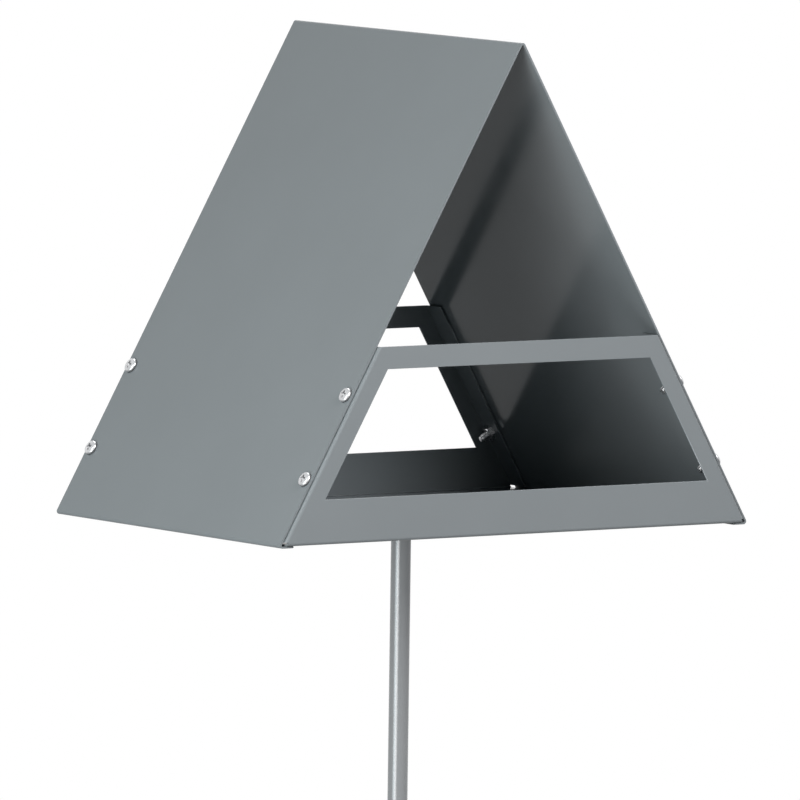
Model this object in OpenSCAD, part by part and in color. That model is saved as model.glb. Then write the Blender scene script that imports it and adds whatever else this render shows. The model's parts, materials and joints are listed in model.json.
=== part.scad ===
// Bird feeder: a folded sheet-steel house with a feed tray, on a plug-together pole.
// Millimetres, Z up. The origin is at ground level on the pole's axis, and the front faces -Y.

/* [Roof] */
// Width across the folds at the roof's lower edges
roof_w = 280; // [220:1:340]
// Depth from the front edge to the rear edge
roof_d = 198; // [150:1:260]
// Slope of each roof panel above the level, in degrees
roof_pitch = 60; // [52:1:66]
// Thickness of the roof's sheet
roof_t = 1; // [0.8:0.1:2]
// Width of the lips turned in under the floor, from the roof's widest point
lip_w = 8; // [6:0.5:16]
// Inside radius of every fold in the sheets
fold_r = 0.6; // [0.3:0.1:1.2]

/* [Feed tray] */
// Thickness of the tray's sheet
tray_t = 1; // [0.8:0.1:2]
// Height of the front and rear frames, from the floor's underside
frame_h = 95.5; // [80:0.5:130]
// Height of the rail along the top of each frame
rail_h = 11; // [8:0.5:20]
// Height of the sill under each window, from the floor's underside
sill_h = 22; // [15:0.5:28]
// Width of the stiles beside each window, square to the slope
stile_w = 10; // [8:0.5:16]
// Depth of the side flanges, from the frame's outer face
flange_d = 13; // [12:0.5:25]
// Height of the flanges' lower ends above the floor's underside
corner_relief = 2; // [1:0.1:4]
// How far the frames stand out past the roof's front and rear edges
frame_proud = 1.5; // [0.5:0.1:3]
// Gap between the flanges and the roof panels
seat_gap = 0.4; // [0:0.05:0.5]

/* [Side screws] */
// Diameter of the screw's shank
screw_d = 4; // [3:0.5:4.5]
// Length of the screw under its head
screw_l = 10; // [7:0.5:14]
// Diameter of the pan head
head_d = 7.6; // [6:0.1:9]
// Height of the pan head
head_h = 2.4; // [1.8:0.1:3.2]
// Height of the head's straight rim, under the dome
rim_h = 1.6; // [0.5:0.1:1.7]
// Span of the cross recess
recess_l = 4.4; // [3:0.1:5]
// Width of the cross recess
recess_w = 1.1; // [0.7:0.1:1.6]
// Depth of the cross recess
recess_depth = 1.5; // [0.8:0.1:1.7]
// Width of the nut across its flats
nut_af = 7; // [5.5:0.5:7]
// Height of the nut
nut_h = 3.2; // [2.4:0.1:4]
// Distance of the screws from the roof's front and rear edges
screw_edge = 4.5; // [4.4:0.1:7]
// Place of the lower screws, up the slope from the roof's lower corner
screw_low = 37.5; // [25:0.5:50]
// Place of the upper screws, up the slope from the roof's lower corner
screw_high = 84; // [65:0.5:88]

/* [Pole] */
// Outer diameter of the pole
pole_d = 10; // [9:0.5:16]
// Wall of the pole's tube
pole_wall = 1; // [0.8:0.1:1.4]
// Length of each of the three pole sections that shows
section_len = 320; // [200:5:500]
// Length of the spigot at the top of the two lower sections
spigot_len = 30; // [20:1:60]
// Chamfer at the ends where two sections meet
pole_chamfer = 0.5; // [0.2:0.1:0.7]
// Length of the solid plug in the top of the pole
plug_len = 25; // [22:1:40]

/* [Floor fixing] */
// Diameter of the support plate under the floor
plate_d = 50; // [30:1:80]
// Thickness of the support plate
plate_t = 2; // [1.5:0.1:4]
// Diameter of the bolt that holds the pole
bolt_d = 6; // [5:0.5:6]
// Length of the bolt under its head
bolt_l = 18; // [14:0.5:20]
// Diameter of the bolt's button head
bolt_head_d = 11; // [9:0.5:14]
// Height of the bolt's button head
bolt_head_h = 3.4; // [2.5:0.1:5]
// Diameter of the hexagon socket's corners in the bolt's head
socket_d = 4.6; // [3.5:0.1:5]
// Depth of the hexagon socket in the bolt's head
socket_depth = 2; // [1:0.1:2.2]
// Outer diameter of the washer under the bolt's head
washer_d = 18; // [14:0.5:24]
// Thickness of the washer
washer_t = 1.6; // [1:0.1:2]

/* [Clearances] */
// Radial clearance of a screw or bolt in a sheet or washer
hole_gap = 0.2; // [0.1:0.05:0.4]
// Radial clearance that stands for a thread
thread_gap = 0.05; // [0.02:0.01:0.1]
// Radial clearance of a spigot in the section above it
spigot_gap = 0.1; // [0.05:0.05:0.2]
// Room past the bolt's end in the plug, and past a spigot's end in the bore
end_gap = 2; // [1:0.5:4]

/* [Hidden] */
$fn = 64;
// Straight steps along one fold
fold_steps = 8;
// Overshoot of a cut past the faces that it goes through
cut = 1;
// The fold's outer radius in each sheet
roof_fold = fold_r + roof_t;
tray_fold = fold_r + tray_t;
// Half of the roof's width where its outer faces would meet in sharp lower corners
sharp_half = roof_w / 2 - roof_fold + roof_fold / tan(roof_pitch / 2);
// Height of the sharp ridge over the lips' underside
sharp_ridge = sharp_half * tan(roof_pitch);
// The slope's lean from the upright
lean = 90 - roof_pitch;
// Depth of the flanges' outer face under the roof's outer face
flange_in = roof_t + seat_gap;
// Depth of the nuts' seat under the roof's outer face
nut_in = flange_in + tray_t;
// Half depth of the tray
tray_y = roof_d / 2 + frame_proud;
// Heights over the lips' underside
tray_z = roof_t;
floor_z = tray_z + tray_t;
sill_z = tray_z + sill_h;
frame_z = tray_z + frame_h;
rail_z = frame_z - rail_h;
// Heights over the ground
pole_len = 3 * section_len;
house_z = pole_len + plate_t - tray_z;
// Radii along the pole
pole_r = pole_d / 2;
bore_r = pole_r - pole_wall;
spigot_r = bore_r - spigot_gap;
// Depth of the bolt's hole in the pole's plug
bolt_reach = bolt_l - washer_t - tray_t - plate_t;

PAINT = [0.53, 0.56, 0.58];
POLE_PAINT = [0.56, 0.58, 0.6];
ZINC = [0.78, 0.79, 0.8];

SIDES = ["left", "right"];
ENDS = ["front", "rear"];
LEVELS = ["lower", "upper"];
PLACES = [for (side = SIDES, end = ENDS, level = LEVELS) str(side, "_", end, "_", level)];

function unit(v) = v / norm(v);
function right_of(v) = [v[1], -v[0]];
function reversed(list) = [for (i = [len(list) - 1 : -1 : 0]) list[i]];

// Half of the house's width at a height, at a depth under the roof's outer face
function half_at(z, depth) = sharp_half - z / tan(roof_pitch) - depth / sin(roof_pitch);

// Points round one fold of a sheet, at the radius asked for
function fold_arc(before, at, after, outer_r, r) =
    let (
        a = unit(at - before),
        b = unit(after - at),
        turn = acos(a * b),
        centre = at - a * outer_r * tan(turn / 2) + right_of(a) * outer_r,
        start = atan2(a[0], -a[1])
    )
    [for (i = [0 : fold_steps])
        let (angle = start - turn * i / fold_steps)
        centre + r * [cos(angle), sin(angle)]];

// Points of one face of a folded sheet, a given distance to the right of its outer line
function folded_face(path, t, inset) =
    let (last = len(path) - 1)
    concat(
        [path[0] + inset * right_of(unit(path[1] - path[0]))],
        [for (i = [1 : last - 1])
            each fold_arc(path[i - 1], path[i], path[i + 1], fold_r + t, fold_r + t - inset)],
        [path[last] + inset * right_of(unit(path[last] - path[last - 1]))]
    );

// Cross-section of a folded sheet: the path is its outer face, and the sheet lies to the path's right
module folded(path, t) {
    polygon(concat(folded_face(path, t, 0), reversed(folded_face(path, t, t))));
}

// Draws an outline in X and Z, and carries it through the house from front to rear
module along_depth(length) {
    translate([0, length / 2, 0])
        rotate([90, 0, 0])
            linear_extrude(length) children();
}

// A level-topped outline between two heights that follows the slopes at a depth under the roof
module between_slopes(low, high, depth) {
    polygon([
        [-half_at(low, depth), low], [half_at(low, depth), low],
        [half_at(high, depth), high], [-half_at(high, depth), high]
    ]);
}

// The left slope's own frame: X goes in through the sheet, Y to the rear and Z up the slope
module on_slope(side) {
    mirror([side == "right" ? 1 : 0, 0, 0])
        translate([-sharp_half, 0, 0])
            rotate([0, lean, 0]) children();
}

// Puts a piece at one screw's place, with Z pointing in through the sheet
module at_screw(side, end, level) {
    on_slope(side)
        mirror([0, end == "rear" ? 1 : 0, 0])
            translate([0, screw_edge - roof_d / 2, level == "upper" ? screw_high : screw_low])
                rotate([0, 90, 0]) children();
}

// The holes for all the side screws
module screw_holes() {
    for (side = SIDES, end = ENDS, level = LEVELS)
        at_screw(side, end, level)
            translate([0, 0, -cut])
                cylinder(h = nut_in + 2 * cut, r = screw_d / 2 + hole_gap);
}

// Roof: two panels and two lips, folded from one sheet
module roof_sheet() {
    lip_end = roof_w / 2 - lip_w;
    outline = [
        [-lip_end, 0], [-sharp_half, 0], [0, sharp_ridge], [sharp_half, 0], [lip_end, 0]
    ];
    color(PAINT)
        translate([0, 0, house_z])
            difference() {
                along_depth(roof_d) folded(outline, roof_t);
                screw_holes();
            }
}

// The floor with the plain front and rear frames, up to the folds at their sides
module tray_panels() {
    outline = [[tray_y, frame_z], [tray_y, tray_z], [-tray_y, tray_z], [-tray_y, frame_z]];
    intersection() {
        translate([-roof_w / 2, 0, 0])
            rotate([90, 0, 90])
                linear_extrude(roof_w) folded(outline, tray_t);
        along_depth(2 * (tray_y + cut)) between_slopes(0, frame_z + cut, flange_in + tray_fold);
    }
}

// One side flange with its fold and stile, cut level at both ends
module tray_flange(side, end) {
    outline = [
        [flange_in + stile_w, -tray_y], [flange_in, -tray_y], [flange_in, flange_d - tray_y]
    ];
    intersection() {
        on_slope(side)
            mirror([0, end == "rear" ? 1 : 0, 0])
                linear_extrude(frame_z / sin(roof_pitch) + stile_w) folded(outline, tray_t);
        translate([-roof_w, -roof_d, tray_z + corner_relief])
            cube([2 * roof_w, 2 * roof_d, frame_h - corner_relief]);
    }
}

// Feed tray: floor, front frame, rear frame and four side flanges, folded from one sheet
module feed_tray() {
    color(PAINT)
        translate([0, 0, house_z])
            difference() {
                union() {
                    tray_panels();
                    for (side = SIDES, end = ENDS) tray_flange(side, end);
                }
                along_depth(2 * (tray_y + cut)) between_slopes(sill_z, rail_z, flange_in + stile_w);
                screw_holes();
                translate([0, 0, tray_z - cut])
                    cylinder(h = tray_t + 2 * cut, r = bolt_d / 2 + hole_gap);
            }
}

// A round head with a straight rim and a domed top, its seat at Z = 0 and its top above
module domed_head(d, h, rim) {
    rise = h - rim;
    dome_r = (d * d / 4 + rise * rise) / (2 * rise);
    intersection() {
        cylinder(h = h, r = d / 2);
        translate([0, 0, h - dome_r]) sphere(r = dome_r);
    }
}

// Pan-head screw with a cross recess
module side_screw(side, end, level) {
    color(ZINC)
        translate([0, 0, house_z])
            at_screw(side, end, level) {
                difference() {
                    mirror([0, 0, 1]) domed_head(head_d, head_h, rim_h);
                    for (turn = [0, 90])
                        rotate([0, 0, turn])
                            translate([-recess_l / 2, -recess_w / 2, -head_h - cut])
                                cube([recess_l, recess_w, recess_depth + cut]);
                }
                cylinder(h = screw_l, r = screw_d / 2);
            }
}

// Hexagon nut, one flat towards the frame
module side_nut(side, end, level) {
    color(ZINC)
        translate([0, 0, house_z])
            at_screw(side, end, level)
                translate([0, 0, nut_in])
                    difference() {
                        cylinder(h = nut_h, d = nut_af / cos(30), $fn = 6);
                        translate([0, 0, -cut])
                            cylinder(h = nut_h + 2 * cut, r = screw_d / 2 + thread_gap);
                    }
}

// Washer between the bolt's head and the floor
module pole_washer() {
    color(ZINC)
        translate([0, 0, house_z + floor_z])
            difference() {
                cylinder(h = washer_t, r = washer_d / 2);
                translate([0, 0, -cut])
                    cylinder(h = washer_t + 2 * cut, r = bolt_d / 2 + hole_gap);
            }
}

// Button-head bolt, down through the floor into the top of the pole
module pole_bolt() {
    color(ZINC)
        translate([0, 0, house_z + floor_z + washer_t]) {
            difference() {
                domed_head(bolt_head_d, bolt_head_h, bolt_head_h / 4);
                translate([0, 0, bolt_head_h - socket_depth])
                    cylinder(h = socket_depth + cut, d = socket_d, $fn = 6);
            }
            translate([0, 0, -bolt_l]) cylinder(h = bolt_l, r = bolt_d / 2);
        }
}

// Round plate that spreads the floor's load on the pole
module support_plate() {
    color(POLE_PAINT)
        translate([0, 0, pole_len])
            difference() {
                cylinder(h = plate_t, r = plate_d / 2);
                translate([0, 0, -cut])
                    cylinder(h = plate_t + 2 * cut, r = bolt_d / 2 + hole_gap);
            }
}

// Round bar with a chamfer at each end, where one is asked for
module pole_bar(length, low_chamfer, high_chamfer) {
    rotate_extrude()
        polygon([
            [0, 0], [pole_r - low_chamfer, 0], [pole_r, low_chamfer],
            [pole_r, length - high_chamfer], [pole_r - high_chamfer, length], [0, length]
        ]);
}

// Top section: a tube, closed at the top by a plug that takes the bolt
module pole_top() {
    color(POLE_PAINT)
        translate([0, 0, 2 * section_len])
            difference() {
                pole_bar(section_len, pole_chamfer, pole_chamfer);
                translate([0, 0, -cut])
                    cylinder(h = section_len - plug_len + cut, r = bore_r);
                translate([0, 0, section_len - bolt_reach - end_gap])
                    cylinder(h = bolt_reach + end_gap + cut, r = bolt_d / 2 + thread_gap);
            }
}

// Middle section: a tube with a necked spigot at its top
module pole_middle() {
    color(POLE_PAINT)
        translate([0, 0, section_len])
            difference() {
                union() {
                    pole_bar(section_len, pole_chamfer, pole_chamfer);
                    cylinder(h = section_len + spigot_len, r = spigot_r);
                }
                translate([0, 0, -cut])
                    cylinder(h = section_len - pole_wall + cut, r = bore_r);
                cylinder(h = section_len + spigot_len + cut, r = spigot_r - pole_wall);
            }
}

// Bottom section: a solid stake, shown from the ground up, with a spigot at its top
module pole_bottom() {
    color(POLE_PAINT)
        union() {
            pole_bar(section_len, 0, pole_chamfer);
            cylinder(h = section_len + spigot_len, r = spigot_r);
        }
}

roof_sheet();
feed_tray();
for (side = SIDES, end = ENDS, level = LEVELS) {
    place = str(side, "_", end, "_", level);
    side_screw(side, end, level);
    side_nut(side, end, level);
}
pole_washer();
pole_bolt();
support_plate();
pole_top();
pole_middle();
pole_bottom();
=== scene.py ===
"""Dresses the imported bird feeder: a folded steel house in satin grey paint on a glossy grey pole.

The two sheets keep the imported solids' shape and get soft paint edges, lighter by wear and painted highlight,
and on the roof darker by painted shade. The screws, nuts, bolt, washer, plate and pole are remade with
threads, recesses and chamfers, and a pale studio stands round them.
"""

from __future__ import annotations

import json
import logging
import math
from collections.abc import Iterator, Sequence
from dataclasses import dataclass, field
from enum import Enum

import bmesh
import bpy
from bmesh.types import BMesh, BMVert
from bpy.types import ID, Material, Mesh, Node, NodeSocket, NodeTree, Object
from mathutils import Matrix, Vector

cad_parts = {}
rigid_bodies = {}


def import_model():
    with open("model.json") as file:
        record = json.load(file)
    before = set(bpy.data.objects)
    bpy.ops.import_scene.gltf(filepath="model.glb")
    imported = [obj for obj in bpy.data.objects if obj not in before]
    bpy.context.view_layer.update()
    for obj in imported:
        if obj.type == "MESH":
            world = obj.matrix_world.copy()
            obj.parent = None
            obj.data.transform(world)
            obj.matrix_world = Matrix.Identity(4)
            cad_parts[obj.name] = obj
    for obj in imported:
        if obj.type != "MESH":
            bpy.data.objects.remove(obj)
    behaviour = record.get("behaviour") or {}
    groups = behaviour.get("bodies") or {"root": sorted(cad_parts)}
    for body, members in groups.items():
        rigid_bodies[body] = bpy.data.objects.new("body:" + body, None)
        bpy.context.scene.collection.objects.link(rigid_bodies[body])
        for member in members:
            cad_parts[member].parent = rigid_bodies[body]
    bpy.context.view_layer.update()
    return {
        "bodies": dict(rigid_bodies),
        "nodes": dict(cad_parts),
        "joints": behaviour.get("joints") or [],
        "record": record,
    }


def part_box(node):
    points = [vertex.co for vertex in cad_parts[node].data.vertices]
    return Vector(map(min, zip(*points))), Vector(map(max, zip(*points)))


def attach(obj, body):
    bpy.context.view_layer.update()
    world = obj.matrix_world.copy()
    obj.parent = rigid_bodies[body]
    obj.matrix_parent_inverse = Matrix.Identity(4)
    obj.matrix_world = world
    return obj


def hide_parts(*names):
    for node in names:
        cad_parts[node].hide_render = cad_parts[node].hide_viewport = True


log = logging.getLogger("bird_feeder")

MM = 0.001
BODY = "root"
WHITE = (1.0, 1.0, 1.0)
# Nearly all of a noise's values lie between these two.
NOISE_LOW, NOISE_HIGH = 0.3, 0.7
# Points nearer than the first are one, and faces thinner than the second are dropped, in metres.
SAME_POINT, SLIVER = 1e-6, 4e-6

Colour = tuple[float, float, float]
Profile = list[tuple[float, float]]
Socket = NodeSocket
Source = Socket | float | str | Colour
Feeds = dict[str | int, Source]


class Side(Enum):
    """The roof panel that a screw goes through."""

    LEFT = "left"
    RIGHT = "right"

    @property
    def sign(self) -> float:
        """Returns the sign of X on this side."""
        return -1.0 if self is Side.LEFT else 1.0


class End(Enum):
    """The frame that a screw holds."""

    FRONT = "front"
    REAR = "rear"


class Level(Enum):
    """The height of a screw on its flange."""

    LOWER = "lower"
    UPPER = "upper"


class Mark(Enum):
    """A face attribute that a finish reads."""

    # Wear and painted highlight on paint edges.
    WORN = "worn"
    # Painted shade on screw rims and recesses, and on the roof's cut faces, lower edges and feet.
    GRIME = "grime"


class Graph:
    """A node tree with short calls that add, set and join its nodes."""

    def __init__(self, tree: NodeTree) -> None:
        """Starts on a shader, world or geometry tree, which is emptied."""
        self.tree = tree
        tree.nodes.clear()

    def add(self, kind: str, inputs: Feeds | None = None, **settings: object) -> Node:
        """Adds a node, sets its own properties and feeds its inputs.

        Args:
            kind: the node's type name.
            inputs: what goes into each input, by the input's name or number.
            settings: properties of the node, by name.

        Returns:
            The new node.
        """
        node = self.tree.nodes.new(kind)
        for name, value in settings.items():
            setattr(node, name, value)
        for key, source in (inputs or {}).items():
            self.join(source, node.inputs[key])
        return node

    def join(self, source: Source, target: Socket) -> None:
        """Links an output to an input, or sets the input to a plain value or a colour.

        Args:
            source: the output, value or colour.
            target: the input.
        """
        if isinstance(source, Socket):
            self.tree.links.new(source, target)
        else:
            target.default_value = (*source, 1.0) if isinstance(source, tuple) else source

    def math(self, operation: str, *values: float | Socket) -> Socket:
        """Returns the result of an operation on numbers and sockets."""
        return self.add("ShaderNodeMath", dict(enumerate(values)), operation=operation).outputs["Value"]

    def mark(self, mark: Mark) -> Socket:
        """Returns a face attribute's value."""
        return self.add("ShaderNodeAttribute", attribute_name=mark.value).outputs["Fac"]

    def noise(self, scale: float, detail: float) -> Socket:
        """Adds a noise pattern on the piece's own coordinates.

        Args:
            scale: repeats in a metre.
            detail: octaves of finer noise.

        Returns:
            The noise's value, from 0 to 1.
        """
        place = self.add("ShaderNodeTexCoord").outputs["Object"]
        noise = self.add("ShaderNodeTexNoise", {"Vector": place, "Scale": scale, "Detail": detail})
        return noise.outputs["Fac"]

    def ranged(self, value: Socket, low: float, high: float) -> Socket:
        """Returns a noise's value, spread over the range from low to high."""
        limits = {"From Min": NOISE_LOW, "From Max": NOISE_HIGH, "To Min": low, "To Max": high}
        return self.add("ShaderNodeMapRange", {"Value": value, **limits}).outputs["Result"]

    def patches(self, mark: Mark, scale: float, least: float) -> Socket:
        """Returns a face attribute, weakened in patches to no less than a share of it."""
        patchy = self.ranged(self.noise(scale, detail=4.0), least, 1.0)
        return self.math("MULTIPLY", self.mark(mark), patchy)

    def blended(self, share: Socket, low: Colour | Socket, high: Colour | Socket) -> Socket:
        """Mixes two colours.

        Args:
            share: the share of the second colour.
            low: colour at 0.
            high: colour at 1.

        Returns:
            The mixed colour.
        """
        mix = self.add("ShaderNodeMix", {"Factor": share}, data_type="RGBA")
        ends = [socket for socket in mix.inputs if socket.type == "RGBA"]
        for colour, socket in zip((low, high), ends):
            self.join(colour, socket)
        return next(socket for socket in mix.outputs if socket.type == "RGBA")

    def surface(self, metallic: float) -> Node:
        """Adds the shader and the output of a solid surface.

        Args:
            metallic: how metallic the surface is.

        Returns:
            The shader.
        """
        shader = self.add("ShaderNodeBsdfPrincipled", {"Metallic": metallic})
        self.add("ShaderNodeOutputMaterial", {"Surface": shader.outputs["BSDF"]})
        return shader

    def bumped(self, height: Socket, depth: float, shader: Node) -> None:
        """Bends a shader's normals by a height, where 1 stands for the depth in metres."""
        bump = self.add("ShaderNodeBump", {"Distance": depth, "Height": height})
        self.join(bump.outputs["Normal"], shader.inputs["Normal"])

    def seen_rays(self) -> Socket:
        """Returns 1 for a camera, glossy or transmission ray, and 0 for any other."""
        path = self.add("ShaderNodeLightPath")
        shown = self.math("MAXIMUM", path.outputs["Is Camera Ray"], path.outputs["Is Glossy Ray"])
        return self.math("MAXIMUM", shown, path.outputs["Is Transmission Ray"])


def new_material(name: str) -> tuple[Material, Graph]:
    """Starts an empty material.

    Args:
        name: the material's name.

    Returns:
        The material and its tree.
    """
    material = bpy.data.materials.new(name)
    material.use_nodes = True
    return material, Graph(material.node_tree)


@dataclass(frozen=True)
class Paint:
    """A sprayed paint: a slightly drifting tone, a fine orange peel, edges with wear, painted highlight and
    painted shade.

    Attributes:
        name: the material's name.
        slot: the record's slot; not used.
        tone: the paint's colour, in linear light.
        drift: how far the tone drifts, as a share of it.
        gloss: roughness at its glossiest and dullest spots.
        peel: height of the orange peel, in metres.
        peel_size: repeats of the orange peel in a metre.
        sheen: strength of the skin's mirror image, where 0.5 is that of clear varnish.
        flake: share of metal flakes in the paint.
        wear_gleam_lift: how much lighter the paint is for wear and painted highlight, as a share of the tone.
        shade_depth: how much darker the paint is in the painted shade, as a share of the tone.
        thin_dull: how much rougher the paint is where its edges show wear.
        shade_dull: how much rougher the paint is in the painted shade.
        drift_size: repeats of the drift in a metre.
        gloss_size: repeats of the glossy spots in a metre.
    """

    name: str
    slot: str
    tone: Colour
    drift: float
    gloss: tuple[float, float]
    peel: float
    peel_size: float
    sheen: float = 0.3
    flake: float = 0.0
    wear_gleam_lift: float = 0.3
    shade_depth: float = 0.75
    thin_dull: float = 0.15
    shade_dull: float = 0.3
    drift_size: float = 17.0
    gloss_size: float = 55.0

    def shade(self, share: float) -> Colour:
        """Returns the tone, lighter by a share of it."""
        red, green, blue = (channel * (1.0 + share) for channel in self.tone)
        return red, green, blue

    def material(self) -> Material:
        """Returns the paint as a material."""
        material, graph = new_material(self.name)
        shader = graph.surface(self.flake)
        graph.join(self.sheen, shader.inputs["Specular IOR Level"])
        cloud = graph.ranged(graph.noise(self.drift_size, detail=3.0), 0.0, 1.0)
        coat = graph.blended(cloud, self.shade(-self.drift), self.shade(self.drift))
        # Wear and painted highlight on the edges, in patches.
        worn = graph.patches(Mark.WORN, scale=90.0, least=0.5)
        # Painted shade on cut faces and lower edges, and painted shadow at the sheet's feet, in patches.
        grime = graph.patches(Mark.GRIME, scale=60.0, least=0.7)
        rubbed_gleam = graph.blended(worn, coat, self.shade(self.wear_gleam_lift))
        graph.join(graph.blended(grime, rubbed_gleam, self.shade(-self.shade_depth)), shader.inputs["Base Color"])
        gloss = graph.ranged(graph.noise(self.gloss_size, detail=4.0), *self.gloss)
        dull = graph.math("MULTIPLY_ADD", worn, self.thin_dull, gloss)
        graph.join(graph.math("MULTIPLY_ADD", grime, self.shade_dull, dull), shader.inputs["Roughness"])
        graph.bumped(graph.noise(self.peel_size, detail=2.0), self.peel, shader)
        return material


@dataclass(frozen=True)
class ZincPlate:
    """Bright zinc on steel, with a faint mottle, a soft gloss and painted shade on the head rims and in the
    recesses.

    Attributes:
        name: the material's name.
        slot: the record's slot; not used.
        tone: the metal's colour, in linear light.
        mottle: colour of the duller crystals.
        grime: colour of the painted shade on the head rims and in the recesses.
        gloss: roughness at its glossiest and dullest spots.
        shade_roughen: how much rougher the metal is in the painted shade.
        mottle_size: repeats of the crystals in a metre.
        gloss_size: repeats of the glossy spots in a metre.
        pit: depth of the fine pits, in metres.
        pit_size: repeats of the pits in a metre.
    """

    name: str = "bright_zinc"
    slot: str = "zinc"
    tone: Colour = (0.69, 0.70, 0.71)
    mottle: Colour = (0.52, 0.535, 0.55)
    grime: Colour = (0.22, 0.22, 0.225)
    gloss: tuple[float, float] = (0.22, 0.34)
    shade_roughen: float = 0.25
    mottle_size: float = 700.0
    gloss_size: float = 1500.0
    pit: float = 2.0e-6
    pit_size: float = 1900.0

    def material(self) -> Material:
        """Returns the plating as a material."""
        material, graph = new_material(self.name)
        shader = graph.surface(metallic=1.0)
        crystals = graph.ranged(graph.noise(self.mottle_size, detail=3.0), 0.0, 1.0)
        plate = graph.blended(crystals, self.mottle, self.tone)
        # Painted shade on the head rims and in the recesses.
        shade_mask = graph.mark(Mark.GRIME)
        graph.join(graph.blended(shade_mask, plate, self.grime), shader.inputs["Base Color"])
        gloss = graph.ranged(graph.noise(self.gloss_size, detail=2.0), *self.gloss)
        graph.join(graph.math("MULTIPLY_ADD", shade_mask, self.shade_roughen, gloss), shader.inputs["Roughness"])
        graph.bumped(graph.noise(self.pit_size, detail=3.0), self.pit, shader)
        return material


HOUSE_PAINT = Paint(
    name="house_powder_coat",
    slot="house_paint",
    tone=(0.210, 0.240, 0.254),
    drift=0.018,
    gloss=(0.11, 0.15),
    peel=1.5e-6,
    peel_size=850.0,
)
POLE_PAINT = Paint(
    name="pole_gloss_paint",
    slot="pole_paint",
    tone=(0.27, 0.285, 0.295),
    drift=0.015,
    gloss=(0.22, 0.27),
    peel=2.0e-6,
    peel_size=420.0,
    flake=0.4,
)
ZINC = ZincPlate()


def new_object(name: str, data: ID) -> Object:
    """Puts a mesh, a lamp or a camera into the scene as an object at the origin.

    Args:
        name: the object's name.
        data: the mesh, lamp or camera that it shows.

    Returns:
        The new object.
    """
    piece = bpy.data.objects.new(name, data)
    bpy.context.scene.collection.objects.link(piece)
    return piece


def new_mesh(name: str, builder: BMesh) -> Mesh:
    """Turns a builder into a mesh whose faces point outwards.

    Args:
        name: the mesh's name.
        builder: the builder, which is freed.

    Returns:
        The new mesh.
    """
    bmesh.ops.recalc_face_normals(builder, faces=builder.faces)
    mesh = bpy.data.meshes.new(name)
    builder.to_mesh(mesh)
    builder.free()
    return mesh


def settle(piece: Object) -> None:
    """Turns a piece's live modifiers into a plain mesh.

    Args:
        piece: the object whose modifiers are applied and removed.
    """
    depsgraph = bpy.context.evaluated_depsgraph_get()
    shown = piece.evaluated_get(depsgraph)
    mesh = bpy.data.meshes.new_from_object(shown, preserve_all_data_layers=True, depsgraph=depsgraph)
    piece.modifiers.clear()
    piece.data = mesh
    mesh.name = piece.name


def carve(piece: Object, cutter: Mesh) -> None:
    """Cuts a shape out of a piece.

    Args:
        piece: the piece to cut.
        cutter: the shape to take away.
    """
    tool = new_object(cutter.name, cutter)
    cut = piece.modifiers.new(cutter.name, "BOOLEAN")
    cut.object = tool
    cut.operation = "DIFFERENCE"
    cut.solver = "EXACT"
    settle(piece)
    bpy.data.objects.remove(tool)


def add_to(mesh: Mesh, other: Mesh) -> None:
    """Adds another mesh's faces to a mesh."""
    builder = bmesh.new()
    builder.from_mesh(mesh)
    builder.from_mesh(other)
    builder.to_mesh(mesh)
    builder.free()


def put_mark(mesh: Mesh, mark: Mark, values: Sequence[float]) -> None:
    """Stores one number for each face, for a finish to read.

    Args:
        mesh: the mesh to mark.
        mark: the attribute.
        values: its value on each face.
    """
    layer = mesh.attributes.new(mark.value, "FLOAT", "FACE")
    layer.data.foreach_set("value", values)


def shade_smooth(mesh: Mesh, sharp: float) -> None:
    """Shades a mesh smooth, with its sharper edges kept.

    Args:
        mesh: the mesh to shade.
        sharp: the least angle of an edge that stays sharp, in degrees.
    """
    mesh.polygons.foreach_set("use_smooth", [True] * len(mesh.polygons))
    mesh.set_sharp_from_angle(angle=math.radians(sharp))


def hand_over(piece: Object, nodes: Sequence[str]) -> None:
    """Rides a finished piece on the part in its nodes' place and reports it.

    Args:
        piece: the finished piece.
        nodes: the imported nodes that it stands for.
    """
    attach(piece, BODY)
    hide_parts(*nodes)
    log.info("%s: %d faces for %s", piece.name, len(piece.data.polygons), ", ".join(nodes))


def arc(centre: tuple[float, float], radius: float, start: float, stop: float, steps: int) -> Profile:
    """Returns points along an arc.

    Args:
        centre: the arc's centre.
        radius: the arc's radius.
        start: first angle, in degrees.
        stop: last angle, in degrees.
        steps: straight steps along it.

    Returns:
        The points, both ends included.
    """
    angles = (math.radians(start + (stop - start) * i / steps) for i in range(steps + 1))
    return [(centre[0] + radius * math.cos(a), centre[1] + radius * math.sin(a)) for a in angles]


def rounded_wall(radius: float, height: float, edge: float, steps: int = 5) -> Profile:
    """Returns the outline of a round wall with rounded edges.

    Args:
        radius: radius of the wall.
        height: height of the wall.
        edge: radius of its two edges.
        steps: straight steps along an edge.

    Returns:
        The points, from the foot up.
    """
    foot = arc((radius - edge, edge), edge, -90.0, 0.0, steps)
    return foot + arc((radius - edge, height - edge), edge, 0.0, 90.0, steps)


def ring(builder: BMesh, radii: Sequence[float], height: float) -> list[BMVert]:
    """Adds a ring of points round Z.

    Args:
        builder: the builder to add them to.
        radii: each point's distance from Z.
        height: the ring's height.

    Returns:
        The points.
    """
    turns = (2.0 * math.pi * i / len(radii) for i in range(len(radii)))
    return [builder.verts.new((r * math.cos(t), r * math.sin(t), height)) for r, t in zip(radii, turns)]


def skin(builder: BMesh, rings: Sequence[list[BMVert]]) -> None:
    """Joins each ring to the next with faces.

    Args:
        builder: the builder that holds the rings.
        rings: rings of one size, where a ring of one repeated point is a pole.
    """
    for low, high in zip(rings, rings[1:]):
        for i in range(len(low)):
            j = (i + 1) % len(low)
            corners = dict.fromkeys((low[i], low[j], high[j], high[i]))
            if len(corners) > 2:
                builder.faces.new(corners)


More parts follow.
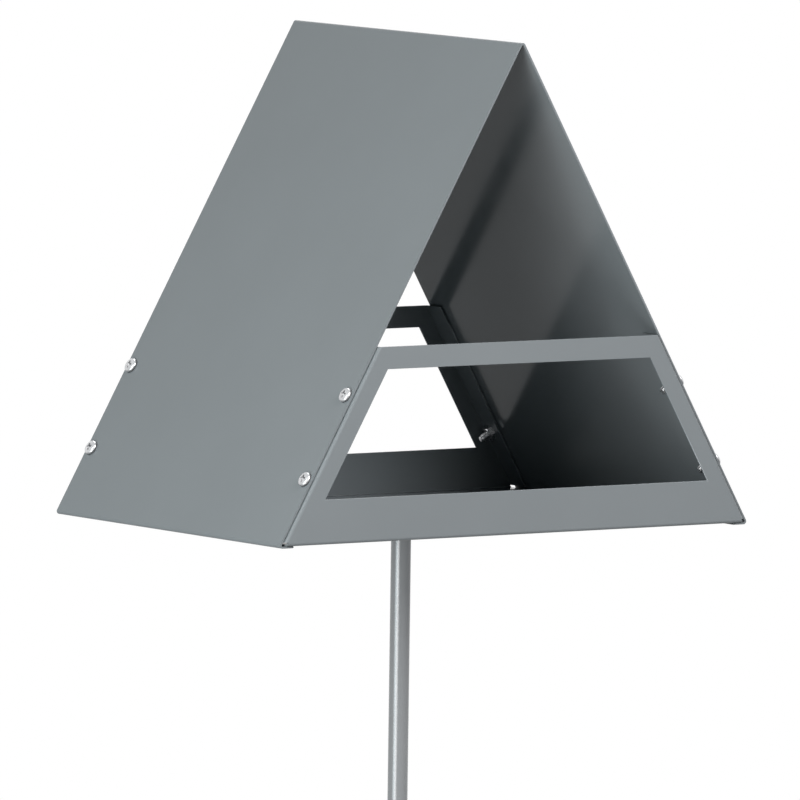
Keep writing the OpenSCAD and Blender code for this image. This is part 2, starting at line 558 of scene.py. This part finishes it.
def lathe(name: str, profile: Profile, sides: int, closed: bool = False) -> Mesh:
    """Turns a profile round Z.

    Args:
        name: the mesh's name.
        profile: radius and height of each point.
        sides: faces round the axis.
        closed: whether the last point joins the first, as in a washer.

    Returns:
        The turned mesh. A point on the axis is a single pole.
    """
    builder = bmesh.new()
    rings = []
    for radius, height in profile:
        if radius < SAME_POINT:
            rings.append([builder.verts.new((0.0, 0.0, height))] * sides)
        else:
            rings.append(ring(builder, [radius] * sides, height))
    skin(builder, rings + rings[:1] if closed else rings)
    return new_mesh(name, builder)


@dataclass(frozen=True)
class Thread:
    """A threaded shank, down from Z = 0, whose crests climb round the axis and run out at a rounded end.

    Attributes:
        diameter: outer diameter of the thread.
        length: length of the shank.
        pitch: rise of the thread in a turn.
        depth: depth of the thread, as a share of the pitch.
        crest: how blunt the crests are, where 1 is sharp.
        run_out: length of the thread's run-out, as a share of the diameter.
        blunt: radius of the rounded end, as a share of the diameter.
    """

    diameter: float
    length: float
    pitch: float
    depth: float = 0.54
    crest: float = 1.35
    run_out: float = 0.25
    blunt: float = 0.1

    def build(self, sides: int = 28, steps: int = 10) -> Mesh:
        """Builds the shank.

        Args:
            sides: faces round the axis.
            steps: rings in one pitch.

        Returns:
            The shank's mesh, closed at both ends.
        """
        depth, blunt = self.depth * self.pitch, self.blunt * self.diameter
        core, straight = self.diameter / 2.0 - depth, self.length - blunt
        count = round(straight / self.pitch * steps)
        builder = bmesh.new()
        rings = []
        for step in range(count + 1):
            z = -straight * step / count
            full = depth * min(1.0, (straight + z) / (self.run_out * self.diameter))
            waves = (abs(2.0 * ((z / self.pitch + i / sides) % 1.0) - 1.0) for i in range(sides))
            rings.append(ring(builder, [core + full * min(1.0, self.crest * wave) for wave in waves], z))
        for radius, z in arc((core - blunt, -straight), blunt, 0.0, -90.0, steps=5)[1:]:
            rings.append(ring(builder, [radius] * sides, z))
        skin(builder, rings)
        builder.faces.new(rings[0])
        builder.faces.new(reversed(rings[-1]))
        return new_mesh("threaded_shank", builder)


@dataclass
class PaintedSheet:
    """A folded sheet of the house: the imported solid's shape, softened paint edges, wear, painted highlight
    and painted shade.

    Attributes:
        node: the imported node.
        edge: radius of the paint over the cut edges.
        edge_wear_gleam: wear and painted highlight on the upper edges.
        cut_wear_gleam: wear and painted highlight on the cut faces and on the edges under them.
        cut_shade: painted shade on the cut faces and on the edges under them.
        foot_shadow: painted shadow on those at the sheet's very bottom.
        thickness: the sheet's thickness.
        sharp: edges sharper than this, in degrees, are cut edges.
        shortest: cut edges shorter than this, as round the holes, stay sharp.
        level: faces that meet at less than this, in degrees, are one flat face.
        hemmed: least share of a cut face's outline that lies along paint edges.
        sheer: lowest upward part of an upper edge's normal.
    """

    node: str
    edge: float
    edge_wear_gleam: float
    cut_wear_gleam: float = 0.0
    cut_shade: float = 0.0
    foot_shadow: float = 0.0
    thickness: float = 1.0 * MM
    sharp: float = 50.0
    shortest: float = 2.0 * MM
    level: float = 0.5
    hemmed: float = 0.8
    sheer: float = -0.05

    def welded(self, frame: dict) -> Mesh:
        """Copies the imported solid's mesh, merges its flat faces and picks the cut edges to round.

        Args:
            frame: the loaded frame.

        Returns:
            The merged copy.
        """
        builder = bmesh.new()
        builder.from_mesh(frame["nodes"][self.node].data)
        bmesh.ops.remove_doubles(builder, verts=builder.verts, dist=SAME_POINT)
        bmesh.ops.dissolve_degenerate(builder, edges=builder.edges, dist=SLIVER)
        level = math.radians(self.level)
        bmesh.ops.dissolve_limit(builder, angle_limit=level, verts=builder.verts, edges=builder.edges)
        for face in builder.faces:
            face.material_index = 0
        rounded = builder.edges.layers.float.new("bevel_weight_edge")
        for edge in builder.edges:
            cut = edge.calc_face_angle() > math.radians(self.sharp)
            edge[rounded] = float(cut and edge.calc_length() > self.shortest)
        return new_mesh(self.node + "_painted", builder)

    def marks(self, mesh: Mesh) -> dict[Mark, list[float]]:
        """Finds the wear, painted highlight and painted shade on the paint edges and the narrow cut faces
        between them.

        Args:
            mesh: the sheet's mesh, with its paint edges in the second material place.

        Returns:
            The wear and painted highlight, and the painted shade, of each face.
        """
        builder = bmesh.new()
        builder.from_mesh(mesh)
        found: dict[Mark, list[float]] = {Mark.WORN: [], Mark.GRIME: []}
        foot = min(corner.co.z for corner in builder.verts) + self.thickness
        for face in builder.faces:
            rims = (edge for edge in face.edges if any(near.material_index for near in edge.link_faces))
            length = face.calc_perimeter()
            narrow = face.calc_area() < length / 2.0 * self.thickness
            cut = narrow and sum(edge.calc_length() for edge in rims) > self.hemmed * length
            upper = face.material_index and face.normal.z > self.sheer
            lower = face.material_index and not upper
            # Wear and painted highlight, on the upper edges and on the cut faces and lower edges.
            found[Mark.WORN].append(self.edge_wear_gleam if upper else self.cut_wear_gleam if cut or lower else 0.0)
            # Painted shadow on faces at the sheet's very bottom, painted shade on the other cut faces and
            # lower edges.
            shaded = self.foot_shadow if face.calc_center_median().z < foot else self.cut_shade
            found[Mark.GRIME].append(shaded if cut or lower else 0.0)
        builder.free()
        return found

    def build(self, frame: dict, finish: Paint, material: Material) -> None:
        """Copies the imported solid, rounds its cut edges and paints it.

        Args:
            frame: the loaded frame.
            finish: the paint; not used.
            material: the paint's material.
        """
        mesh = self.welded(frame)
        # The second material place only tells the paint edges from the rest, and goes once they are marked.
        for _ in range(2):
            mesh.materials.append(material)
        piece = new_object(mesh.name, mesh)
        bevel = piece.modifiers.new("paint_edge", "BEVEL")
        bevel.width = self.edge
        bevel.segments = 3
        bevel.limit_method = "WEIGHT"
        bevel.use_clamp_overlap = False
        bevel.material = 1
        settle(piece)
        for mark, values in self.marks(piece.data).items():
            put_mark(piece.data, mark, values)
        piece.data.polygons.foreach_set("material_index", [0] * len(piece.data.polygons))
        piece.data.materials.pop()
        shade_smooth(piece.data, self.sharp)
        flats = piece.modifiers.new("flat_normals", "WEIGHTED_NORMAL")
        flats.keep_sharp = True
        settle(piece)
        hand_over(piece, [self.node])


@dataclass(frozen=True)
class DomedHead:
    """A round head with a straight rim, a rounded shoulder and a domed top; its seat is at Z = 0.

    Attributes:
        width: diameter of the head.
        height: height of the head.
        rise: how far the dome rises over the full width.
        shoulder: radius between the rim and the dome.
        foot: radius at the seat's edge.
        rim_shade: painted shade on the rim's wall.
        recess_shade: painted shade in the recess.
        sunk: depth under the dome from which a face is in the recess.
        sharp: edges sharper than this, in degrees, stay sharp.
    """

    width: float
    height: float
    rise: float
    shoulder: float
    foot: float = 0.2 * MM
    rim_shade: float = 1.0
    recess_shade: float = 0.55
    sunk: float = 0.06 * MM
    sharp: float = 35.0

    @property
    def dome(self) -> float:
        """Returns the dome's radius."""
        return (self.width**2 / 4.0 + self.rise**2) / (2.0 * self.rise)

    @property
    def lean(self) -> float:
        """Returns the slope of the dome where the shoulder meets it, in radians."""
        return math.asin((self.width / 2.0 - self.shoulder) / (self.dome - self.shoulder))

    @property
    def rim(self) -> float:
        """Returns the height of the rim under the shoulder."""
        return self.height - self.dome + (self.dome - self.shoulder) * math.cos(self.lean)

    def profile(self) -> Profile:
        """Returns the head's outline from the middle of its seat, over the rim, to the top of the dome."""
        out, soft, dome = self.width / 2.0, self.shoulder, self.dome
        lean = math.degrees(self.lean)
        points = [(0.0, 0.0)] + arc((out - self.foot, self.foot), self.foot, -90.0, 0.0, steps=3)
        points += arc((out - soft, self.rim), soft, 0.0, 90.0 - lean, steps=8)
        points += arc((0.0, self.height - dome), dome, 90.0 - lean, 90.0, steps=8)[1:-1]
        return points + [(0.0, self.height)]

    def build(self, name: str, recess: Mesh, thread: Thread, sides: int = 64) -> Object:
        """Turns the head, cuts its recess, adds the thread and marks the painted shade.

        Args:
            name: the piece's name.
            recess: the shape that is cut out of the top.
            thread: the thread under the seat.
            sides: faces round the axis.

        Returns:
            The finished screw or bolt, head up.
        """
        piece = new_object(name, lathe(name, self.profile(), sides))
        carve(piece, recess)
        add_to(piece.data, thread.build())
        put_mark(piece.data, Mark.GRIME, [self.grime(face.center) for face in piece.data.polygons])
        shade_smooth(piece.data, self.sharp)
        return piece

    def grime(self, spot: Vector) -> float:
        """Finds the painted shade on a spot.

        Args:
            spot: a spot on the head or the thread.

        Returns:
            The painted shade there, from 0 to 1.
        """
        centre = Vector((0.0, 0.0, self.height - self.dome))
        outer = 0.9 * self.width / 2.0
        if spot.z < self.sunk:
            return 0.0
        if math.hypot(spot.x, spot.y) > outer:
            return self.rim_shade if spot.z < self.rim else 0.0
        return self.recess_shade if (spot - centre).length < self.dome - self.sunk else 0.0


@dataclass(frozen=True)
class Screw:
    """A pan-head screw with a cross recess and a rolled thread; its head's seat is at Z = 0.

    Attributes:
        head: the screw's head.
        thread: the screw's thread.
        span: span of the recess across its wings.
        wing: width of a wing.
        depth: depth of the recess.
        waist: place of the corners between the wings, as a share of a wing's width.
        taper: how much of a wing's width narrows with its span.
        over: how far the cutter stands out of the head.
    """

    head: DomedHead = DomedHead(width=7.6 * MM, height=2.4 * MM, rise=0.8 * MM, shoulder=1.1 * MM)
    thread: Thread = Thread(diameter=4.0 * MM, length=10.0 * MM, pitch=0.7 * MM)
    span: float = 4.4 * MM
    wing: float = 1.05 * MM
    depth: float = 1.5 * MM
    waist: float = 0.75
    taper: float = 0.3
    over: float = 0.6 * MM

    def recess(self) -> Mesh:
        """Returns the four-winged point that is cut out of the head."""
        builder = bmesh.new()
        rings = []
        # The cutter's three levels: the height over the head's top, and the share of the span there.
        for height, share in ((self.over, 1.12), (-0.6 * self.depth, 0.72), (-self.depth, 0.3)):
            reach, waist = self.span / 2.0 * share, self.wing * self.waist * share
            half = self.wing / 2.0 * (1.0 - self.taper + self.taper * share)
            corners = []
            for quarter in range(4):
                turn = Matrix.Rotation(quarter * math.pi / 2.0, 3, "Z")
                for x, y in ((reach, -half), (reach, half), (waist, waist)):
                    corners.append(builder.verts.new(turn @ Vector((x, y, self.head.height + height))))
            rings.append(corners)
        skin(builder, rings)
        builder.faces.new(rings[0])
        builder.faces.new(reversed(rings[-1]))
        return new_mesh("cross_recess", builder)

    def build(self) -> Object:
        """Returns one screw, head up, as a master to be placed."""
        return self.head.build("screw_master", self.recess(), self.thread)


@dataclass(frozen=True)
class Nut:
    """A hexagon nut with chamfered corners; its seat is at Z = 0 and a flat faces X.

    Attributes:
        flats: width across the flats.
        height: height of the nut.
        hole_d: diameter of the threaded hole.
        mouth: chamfer of the hole.
        lean: slope of the corners' chamfer, in degrees.
        face: width of the round faces, as a share of the flats.
        sharp: edges sharper than this, in degrees, stay sharp.
    """

    flats: float = 7.0 * MM
    height: float = 3.2 * MM
    hole_d: float = 4.1 * MM
    mouth: float = 0.35 * MM
    lean: float = 30.0
    face: float = 0.96
    sharp: float = 25.0

    def build(self, sides: int = 72) -> Object:
        """Builds one nut as a master to be placed.

        Args:
            sides: faces round the axis, a multiple of six.

        Returns:
            The nut's object.
        """
        inner, hole = self.flats / 2.0, self.hole_d / 2.0
        face, sixth = inner * self.face, math.pi / 3.0
        turns = [2.0 * math.pi * i / sides for i in range(sides)]
        corners = [inner / math.cos((turn + sixth / 2.0) % sixth - sixth / 2.0) for turn in turns]
        drops = [max(0.0, (corner - face) * math.tan(math.radians(self.lean))) for corner in corners]
        top = self.height
        builder = bmesh.new()
        rings = [ring(builder, [hole] * sides, self.mouth)]
        rings += [ring(builder, [radius] * sides, 0.0) for radius in (hole + self.mouth, face)]
        rings += [ring(builder, corners, 0.0), ring(builder, corners, top)]
        rings += [ring(builder, [radius] * sides, top) for radius in (face, hole + self.mouth)]
        rings += [ring(builder, [hole] * sides, top - self.mouth)]
        for low, high, drop in zip(rings[3], rings[4], drops):
            low.co.z += drop
            high.co.z -= drop
        skin(builder, rings + rings[:1])
        mesh = new_mesh("nut", builder)
        shade_smooth(mesh, self.sharp)
        return new_object("nut_master", mesh)


@dataclass
class Scatter:
    """A Geometry Nodes tree that sets one master on every point, turned to the point's own axis.

    Attributes:
        name: the tree's name.
        spin: how far a copy may turn about its axis, in radians.
        seed: seed of the turns.
        inputs: the identifiers of the tree's inputs, by name.
    """

    name: str
    spin: float = 0.0
    seed: int = 0
    inputs: dict[str, str] = field(default_factory=dict)

    def tree(self) -> NodeTree:
        """Returns the geometry tree, once the identifiers of its inputs are noted."""
        tree = bpy.data.node_groups.new(self.name, "GeometryNodeTree")
        graph = Graph(tree)
        sockets = (
            ("Points", "NodeSocketGeometry"),
            ("Master", "NodeSocketObject"),
            ("Size", "NodeSocketFloat"),
            ("Spin", "NodeSocketFloat"),
            ("Seed", "NodeSocketInt"),
            ("Finish", "NodeSocketMaterial"),
        )
        for label, kind in sockets:
            socket = tree.interface.new_socket(name=label, in_out="INPUT", socket_type=kind)
            self.inputs[label] = socket.identifier
        tree.interface.new_socket(name="Pieces", in_out="OUTPUT", socket_type="NodeSocketGeometry")
        given = graph.add("NodeGroupInput").outputs
        axis = graph.add("GeometryNodeInputNamedAttribute", {"Name": "axis"}, data_type="FLOAT_VECTOR")
        vector = next(socket for socket in axis.outputs if socket.type == "VECTOR")
        aim = graph.add("FunctionNodeAlignRotationToVector", {"Vector": vector}, axis="Z")
        chance = graph.add("FunctionNodeRandomValue", {"Seed": given["Seed"]}, data_type="FLOAT")
        span = next(socket for socket in chance.inputs if socket.name == "Max" and socket.type == "VALUE")
        graph.join(given["Spin"], span)
        angle = next(socket for socket in chance.outputs if socket.type == "VALUE")
        about = graph.add("FunctionNodeAxisAngleToRotation", {"Angle": angle})
        turns = {"Rotation": aim.outputs["Rotation"], "Rotate By": about.outputs["Rotation"]}
        turn = graph.add("FunctionNodeRotateRotation", turns, rotation_space="LOCAL")
        master = graph.add("GeometryNodeObjectInfo", {"Object": given["Master"]})
        feeds = {
            "Points": given["Points"],
            "Instance": master.outputs["Geometry"],
            "Rotation": turn.outputs["Rotation"],
            "Scale": given["Size"],
        }
        copies = graph.add("GeometryNodeInstanceOnPoints", feeds)
        real = graph.add("GeometryNodeRealizeInstances", {"Geometry": copies.outputs["Instances"]})
        coat = {"Geometry": real.outputs["Geometry"], "Material": given["Finish"]}
        finished = graph.add("GeometryNodeSetMaterial", coat)
        graph.add("NodeGroupOutput", {"Pieces": finished.outputs["Geometry"]})
        return tree

    def place(self, master: Object, places: Sequence[tuple[Vector, Vector]], material: Material) -> Object:
        """Sets the master on every place and turns the result into one plain mesh.

        Args:
            master: the piece to copy, which is removed afterwards.
            places: the seat and the outward axis of each copy.
            material: the copies' material.

        Returns:
            The object that holds all the copies.
        """
        mesh = bpy.data.meshes.new(self.name)
        mesh.from_pydata([tuple(seat) for seat, _ in places], [], [])
        axes = mesh.attributes.new("axis", "FLOAT_VECTOR", "POINT")
        axes.data.foreach_set("vector", [part for _, axis in places for part in axis])
        piece = new_object(self.name, mesh)
        modifier = piece.modifiers.new(self.name, "NODES")
        modifier.node_group = self.tree()
        settings = {"Master": master, "Size": 1.0, "Spin": self.spin, "Seed": self.seed, "Finish": material}
        for label, value in settings.items():
            modifier[self.inputs[label]] = value
        settle(piece)
        bpy.data.objects.remove(master)
        return piece


@dataclass
class SideFixings:
    """The screws through the roof and the nuts behind the flanges.

    Attributes:
        pitch: slope of the roof panels, in degrees.
        nut_depth: depth of a nut's middle under the roof's outer face.
        screw: the screw that repeats.
        nut: the nut that repeats.
    """

    pitch: float = 60.0
    nut_depth: float = 4.0 * MM
    screw: Screw = Screw()
    nut: Nut = Nut()

    def labels(self) -> Iterator[tuple[Side, str]]:
        """Yields each fixing's side and the tail of its node's name."""
        for side in Side:
            for end in End:
                for level in Level:
                    yield side, f"{side.value}_{end.value}_{level.value}"

    def places(self, depth: float) -> list[tuple[Vector, Vector]]:
        """Finds the fixings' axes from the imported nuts.

        Args:
            depth: how far under the roof's outer face the seats are.

        Returns:
            The seat and the outward axis of each fixing.
        """
        found = []
        tilt = math.radians(self.pitch)
        for side, label in self.labels():
            low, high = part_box("nut_" + label)
            outward = Vector((side.sign * math.sin(tilt), 0.0, math.cos(tilt)))
            found.append(((low + high) / 2.0 + outward * (self.nut_depth - depth), outward))
        return found

    def build(self, finish: ZincPlate, material: Material) -> None:
        """Builds all the screws and all the nuts.

        Args:
            finish: the plating; not used.
            material: the plating's material.
        """
        screws = Scatter("side_screws", spin=2.0 * math.pi, seed=5)
        piece = screws.place(self.screw.build(), self.places(0.0), material)
        hand_over(piece, ["screw_" + label for _, label in self.labels()])
        seat = self.nut_depth + self.nut.height / 2.0
        piece = Scatter("side_nuts").place(self.nut.build(), self.places(seat), material)
        hand_over(piece, ["nut_" + label for _, label in self.labels()])


def foot_of(node: str) -> tuple[Vector, float, float]:
    """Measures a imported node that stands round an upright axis.

    Args:
        node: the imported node.

    Returns:
        The middle of its underside, its radius and its height.
    """
    low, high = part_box(node)
    middle = (low + high) / 2.0
    return Vector((middle.x, middle.y, low.z)), (high.x - low.x) / 2.0, high.z - low.z


@dataclass
class Pole:
    """The three plug-together sections of the pole, copies of one turned section.

    Attributes:
        nodes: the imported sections, top first.
        rim: radius of the paint at a section's ends.
        hole: radius of the hole in a section's top.
        hole_depth: depth of that hole.
        sides: faces round a section.
        sharp: edges sharper than this, in degrees, stay sharp.
    """

    nodes: tuple[str, ...] = ("pole_top", "pole_middle", "pole_bottom")
    rim: float = 0.5 * MM
    hole: float = 3.05 * MM
    hole_depth: float = 15.0 * MM
    sides: int = 96
    sharp: float = 40.0

    def section(self, radius: float, length: float) -> Object:
        """Turns one section as a master to be placed.

        Args:
            radius: the section's radius.
            length: its length without a spigot.

        Returns:
            The section's object, its foot at the origin.
        """
        floor = length - self.hole_depth
        hole = [(self.hole, length), (self.hole, floor), (0.0, floor)]
        profile = [(0.0, 0.0)] + rounded_wall(radius, length, self.rim) + hole
        mesh = lathe("pole_section", profile, self.sides)
        shade_smooth(mesh, self.sharp)
        return new_object("pole_section", mesh)

    def build(self, finish: Paint, material: Material) -> None:
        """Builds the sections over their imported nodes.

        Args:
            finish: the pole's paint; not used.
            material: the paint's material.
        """
        _, radius, length = foot_of(self.nodes[0])
        places = [(foot_of(node)[0], Vector((0.0, 0.0, 1.0))) for node in self.nodes]
        piece = Scatter("pole_sections").place(self.section(radius, length), places, material)
        hand_over(piece, self.nodes)


@dataclass
class FloorFixing:
    """The plate, washer and button-head bolt that hold the floor on the pole.

    Attributes:
        bore: radius of the hole in the plate and the washer.
        plate_edge: radius of the paint on the plate's rim.
        washer_edge: radius of the washer's rim.
        head: the bolt's head.
        thread: the bolt's thread.
        socket: corner radius of the bolt's hexagon socket.
        socket_depth: depth of the socket.
        over: how far the socket's cutter stands out of the head.
        sides: faces round the plate and the washer.
    """

    bore: float = 3.3 * MM
    plate_edge: float = 0.4 * MM
    washer_edge: float = 0.3 * MM
    head: DomedHead = DomedHead(width=11.0 * MM, height=3.4 * MM, rise=2.55 * MM, shoulder=0.4 * MM)
    thread: Thread = Thread(diameter=6.0 * MM, length=18.0 * MM, pitch=1.0 * MM)
    socket: float = 2.3 * MM
    socket_depth: float = 2.0 * MM
    over: float = 0.5 * MM
    sides: int = 128

    def disc(self, node: str, edge: float, material: Material) -> None:
        """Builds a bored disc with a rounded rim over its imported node.

        Args:
            node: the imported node.
            edge: radius of the rim.
            material: the finish's material.
        """
        base, radius, height = foot_of(node)
        profile = [(self.bore, 0.0)] + rounded_wall(radius, height, edge) + [(self.bore, height)]
        mesh = lathe(node + "_finished", profile, self.sides, closed=True)
        shade_smooth(mesh, self.head.sharp)
        self.dress(new_object(mesh.name, mesh), base, node, material)

    def bolt(self, material: Material) -> None:
        """Builds the button-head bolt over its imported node.

        Args:
            material: the plating's material.
        """
        base, _, _ = foot_of("pole_bolt")
        top, floor = self.head.height + self.over, self.head.height - self.socket_depth
        socket = lathe("hex_socket", [(0.0, floor), (self.socket, floor), (self.socket, top), (0.0, top)], 6)
        piece = self.head.build("pole_bolt_finished", socket, self.thread)
        seat = base + Vector((0.0, 0.0, self.thread.length))
        self.dress(piece, seat, "pole_bolt", material)

    def dress(self, piece: Object, place: Vector, node: str, material: Material) -> None:
        """Moves a piece's mesh to its place and dresses it.

        Args:
            piece: the piece.
            place: where its origin goes.
            node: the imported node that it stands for.
            material: the finish's material.
        """
        piece.data.transform(Matrix.Translation(place))
        piece.data.materials.append(material)
        hand_over(piece, [node])


def direction(azimuth: float, elevation: float) -> Vector:
    """Returns the unit vector towards a viewer.

    Args:
        azimuth: degrees, 0 in front and positive to the right.
        elevation: degrees over the level.

    Returns:
        The direction from the object to the viewer.
    """
    a, e = math.radians(azimuth), math.radians(elevation)
    return Vector((math.sin(a) * math.cos(e), -math.cos(a) * math.cos(e), math.sin(e)))


@dataclass(frozen=True)
class Lamp:
    """A soft rectangular lamp, turned to the house.

    Attributes:
        name: the lamp's name.
        azimuth: direction from the house, in degrees, 0 in front and positive to the right.
        elevation: angle over the level, in degrees.
        distance: distance from the house, in metres.
        size: width and height, in metres.
        power: power, in watts.
        tint: the light's colour.
    """

    name: str
    azimuth: float
    elevation: float
    distance: float
    size: tuple[float, float]
    power: float
    tint: Colour = WHITE

    def build(self, aim: Vector) -> None:
        """Sets the lamp up.

        Args:
            aim: the point that it faces.
        """
        data = bpy.data.lights.new(self.name, "AREA")
        data.shape = "RECTANGLE"
        data.size, data.size_y = self.size
        data.energy = self.power
        data.color = self.tint
        lamp = new_object(self.name, data)
        back = direction(self.azimuth, self.elevation)
        lamp.location = aim + back * self.distance
        lamp.rotation_euler = back.to_track_quat("Z", "Y").to_euler()
        lamp.visible_camera = False


@dataclass
class Studio:
    """The camera, the lamps, the pale floor and the white surround.

    Attributes:
        azimuth: the camera's direction, in degrees.
        elevation: the camera's angle over the level, in degrees.
        roll: the camera's turn about its own axis, in degrees.
        distance: the camera's distance from its aim, in metres.
        lens: focal length, in millimetres.
        sensor: width of the camera's sensor, in millimetres.
        aim_up: height of the aim over the house's underside, in metres.
        aim_right: how far the aim lies to the camera's right of the pole, in metres.
        ambient: strength of the surround's own light.
        floor_tone: the floor's colour, in linear light.
        floor_reach: half the floor's width, in metres.
        fade: distances from the pole between which the floor fades to white, in metres.
        pale: how white the floor already is at the pole.
        lamps: the lamps.
    """

    azimuth: float = -34.708
    elevation: float = 4.969
    roll: float = 0.794
    distance: float = 6.9567
    lens: float = 630.0
    sensor: float = 36.0
    aim_up: float = 0.05945
    aim_right: float = -0.00148
    ambient: float = 0.01
    floor_tone: Colour = (0.5, 0.5, 0.5)
    floor_reach: float = 150.0
    fade: tuple[float, float] = (0.5, 6.0)
    pale: float = 0.34
    lamps: tuple[Lamp, ...] = (
        Lamp("front_soft_box", 8.5, 30.0, 1.4, (0.8, 0.8), 19.6, (1.0, 0.955, 0.95)),
        Lamp("near_side_strip", -64.0, 2.0, 1.3, (0.5, 1.6), 10.5, (1.0, 0.967, 0.95)),
        Lamp("far_side_strip", -82.0, 2.0, 1.3, (0.5, 1.6), 7.8, (0.92, 0.99, 1.0)),
        Lamp("back_soft_box", 135.0, 50.0, 1.8, (1.0, 1.0), 18.0),
    )

    def camera(self) -> None:
        """Sets up the camera at the photograph's viewing angle."""
        low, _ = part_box("roof_sheet")
        back = direction(self.azimuth, self.elevation)
        right = direction(self.azimuth + 90.0, 0.0)
        up = back.cross(right)
        aim = Vector((0.0, 0.0, low.z + self.aim_up)) + right * self.aim_right
        c, s = math.cos(math.radians(self.roll)), math.sin(math.radians(self.roll))
        place = Matrix((right * c + up * s, up * c - right * s, back)).transposed().to_4x4()
        place.translation = aim + back * self.distance
        data = bpy.data.cameras.new("photo_camera")
        data.sensor_width = self.sensor
        data.lens = self.lens
        # Further than the floor's far corners.
        data.clip_end = 4.0 * self.floor_reach
        camera = new_object("photo_camera", data)
        camera.matrix_world = place
        bpy.context.scene.camera = camera

    def surround(self) -> None:
        """Sets up the white surround, which lights softly and shows white."""
        world = bpy.data.worlds.new("studio_surround")
        bpy.context.scene.world = world
        world.use_nodes = True
        graph = Graph(world.node_tree)
        light = graph.add("ShaderNodeBackground", {"Color": WHITE, "Strength": self.ambient})
        white = graph.add("ShaderNodeBackground", {"Color": WHITE, "Strength": 1.0})
        ends = {1: light.outputs["Background"], 2: white.outputs["Background"]}
        mix = graph.add("ShaderNodeMixShader", {"Fac": graph.seen_rays(), **ends})
        graph.add("ShaderNodeOutputWorld", {"Surface": mix.outputs["Shader"]})

    def floor(self) -> None:
        """Lays a pale floor that keeps the shadow near the pole and fades to white further off."""
        material, graph = new_material("pale_floor")
        diffuse = graph.add("ShaderNodeBsdfDiffuse", {"Color": self.floor_tone})
        white = graph.add("ShaderNodeEmission")
        place = graph.add("ShaderNodeTexCoord").outputs["Object"]
        away = graph.add("ShaderNodeVectorMath", {0: place}, operation="LENGTH").outputs["Value"]
        limits = dict(zip(("From Min", "From Max", "To Min"), (*self.fade, self.pale)))
        fade = graph.add("ShaderNodeMapRange", {"Value": away, **limits}, interpolation_type="SMOOTHSTEP")
        share = graph.math("MULTIPLY", fade.outputs["Result"], graph.seen_rays())
        ends = {1: diffuse.outputs["BSDF"], 2: white.outputs["Emission"]}
        mix = graph.add("ShaderNodeMixShader", {"Fac": share, **ends})
        graph.add("ShaderNodeOutputMaterial", {"Surface": mix.outputs["Shader"]})
        reach = self.floor_reach
        mesh = bpy.data.meshes.new("studio_floor")
        corners = [(-reach, -reach, 0.0), (reach, -reach, 0.0), (reach, reach, 0.0), (-reach, reach, 0.0)]
        mesh.from_pydata(corners, [], [(0, 1, 2, 3)])
        mesh.materials.append(material)
        new_object("studio_floor", mesh)

    def build(self) -> None:
        """Sets up the whole studio."""
        self.camera()
        self.surround()
        self.floor()
        low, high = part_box("roof_sheet")
        for lamp in self.lamps:
            lamp.build((low + high) / 2.0)
        bpy.context.scene.view_settings.view_transform = "Standard"


def main() -> None:
    """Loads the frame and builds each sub-assembly in order."""
    logging.basicConfig(level=logging.INFO, format="%(name)s: %(message)s")
    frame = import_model()
    house, pole, zinc = HOUSE_PAINT.material(), POLE_PAINT.material(), ZINC.material()
    Studio().build()
    # Painted shade on the roof's cut faces and lower edges, painted shadow at its feet; wear and painted
    # highlight on both sheets' edges.
    roof = PaintedSheet("roof_sheet", edge=0.44 * MM, edge_wear_gleam=0.25, cut_shade=0.12, foot_shadow=1.0)
    tray = PaintedSheet("feed_tray", edge=0.25 * MM, edge_wear_gleam=0.8, cut_wear_gleam=0.8)
    for sheet in (roof, tray):
        sheet.build(frame, HOUSE_PAINT, house)
    SideFixings().build(ZINC, zinc)
    Pole().build(POLE_PAINT, pole)
    fixing = FloorFixing()
    fixing.disc("support_plate", fixing.plate_edge, pole)
    fixing.disc("pole_washer", fixing.washer_edge, zinc)
    fixing.bolt(zinc)


if __name__ == "__main__":
    main()
